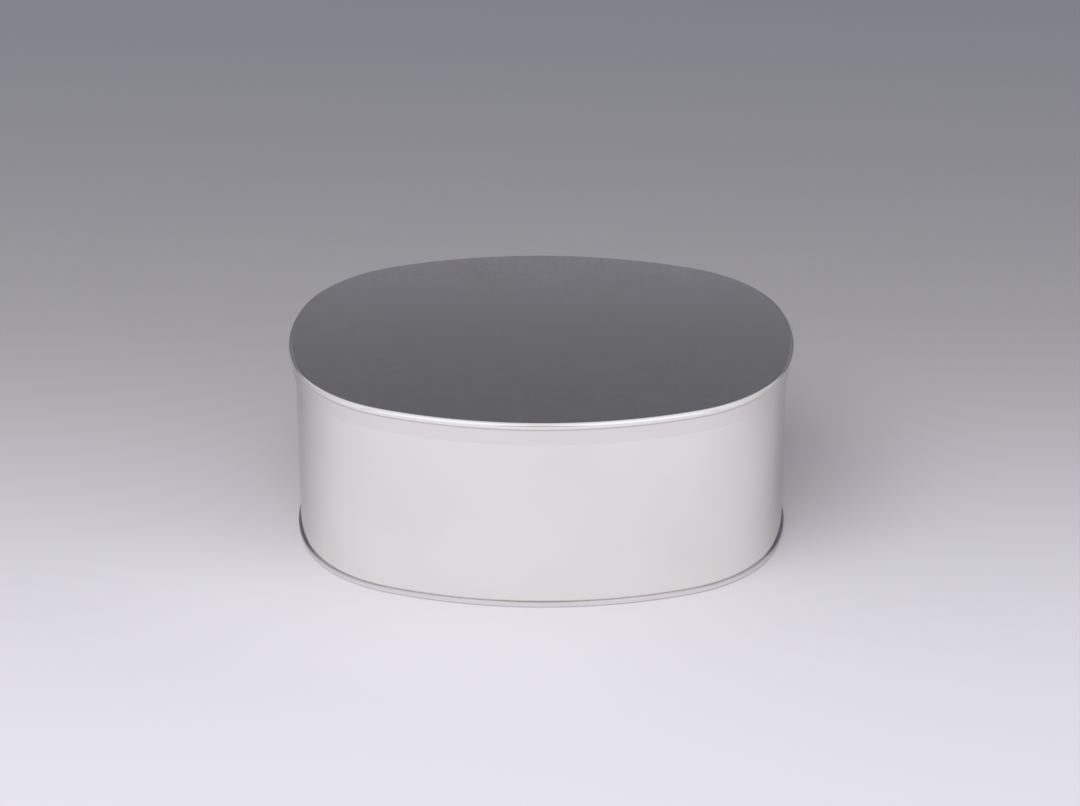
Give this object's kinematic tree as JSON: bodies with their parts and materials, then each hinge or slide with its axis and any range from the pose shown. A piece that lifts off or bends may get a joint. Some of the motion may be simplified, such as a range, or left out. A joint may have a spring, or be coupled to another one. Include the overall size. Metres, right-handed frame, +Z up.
{
  "type": "lidded oval box",
  "caption": "Oval silver box with a plain upright wall, a projecting base plate and a flat pull-off lid whose edge carries a half-round wire.",
  "frame": {"origin": "middle of the underside of the base plate, which is the face that the box rests on", "axes": "+X along the length of the oval, +Y to the back where the seams are, +Z up through the lid"},
  "size_m": [0.102, 0.0766, 0.0416],
  "materials": {
    "base_silver": "polished silver sheet, rubbed underneath",
    "wall_silver": "softly polished silver sheet",
    "lid_silver": "softly polished silver sheet",
    "skirt_silver": "softly polished silver sheet",
    "wire_silver": "bright polished silver wire",
    "solder": "satin silver solder"
  },
  "bodies": {
    "body": {"base_plate": "base_silver", "base_solder": "solder", "body_wall": "wall_silver", "wall_seam": "solder"},
    "lid": {"lid_plate": "lid_silver", "lid_skirt": "skirt_silver", "skirt_seam": "solder", "lid_solder": "solder", "lid_edge_wire": "wire_silver", "wire_seam": "solder"}
  },
  "joints": [
    {"name": "lid_lift", "type": "slide", "parent": "body", "child": "lid", "axis": [0, 0, 1], "range_m": [0, 0.06]}
  ]
}
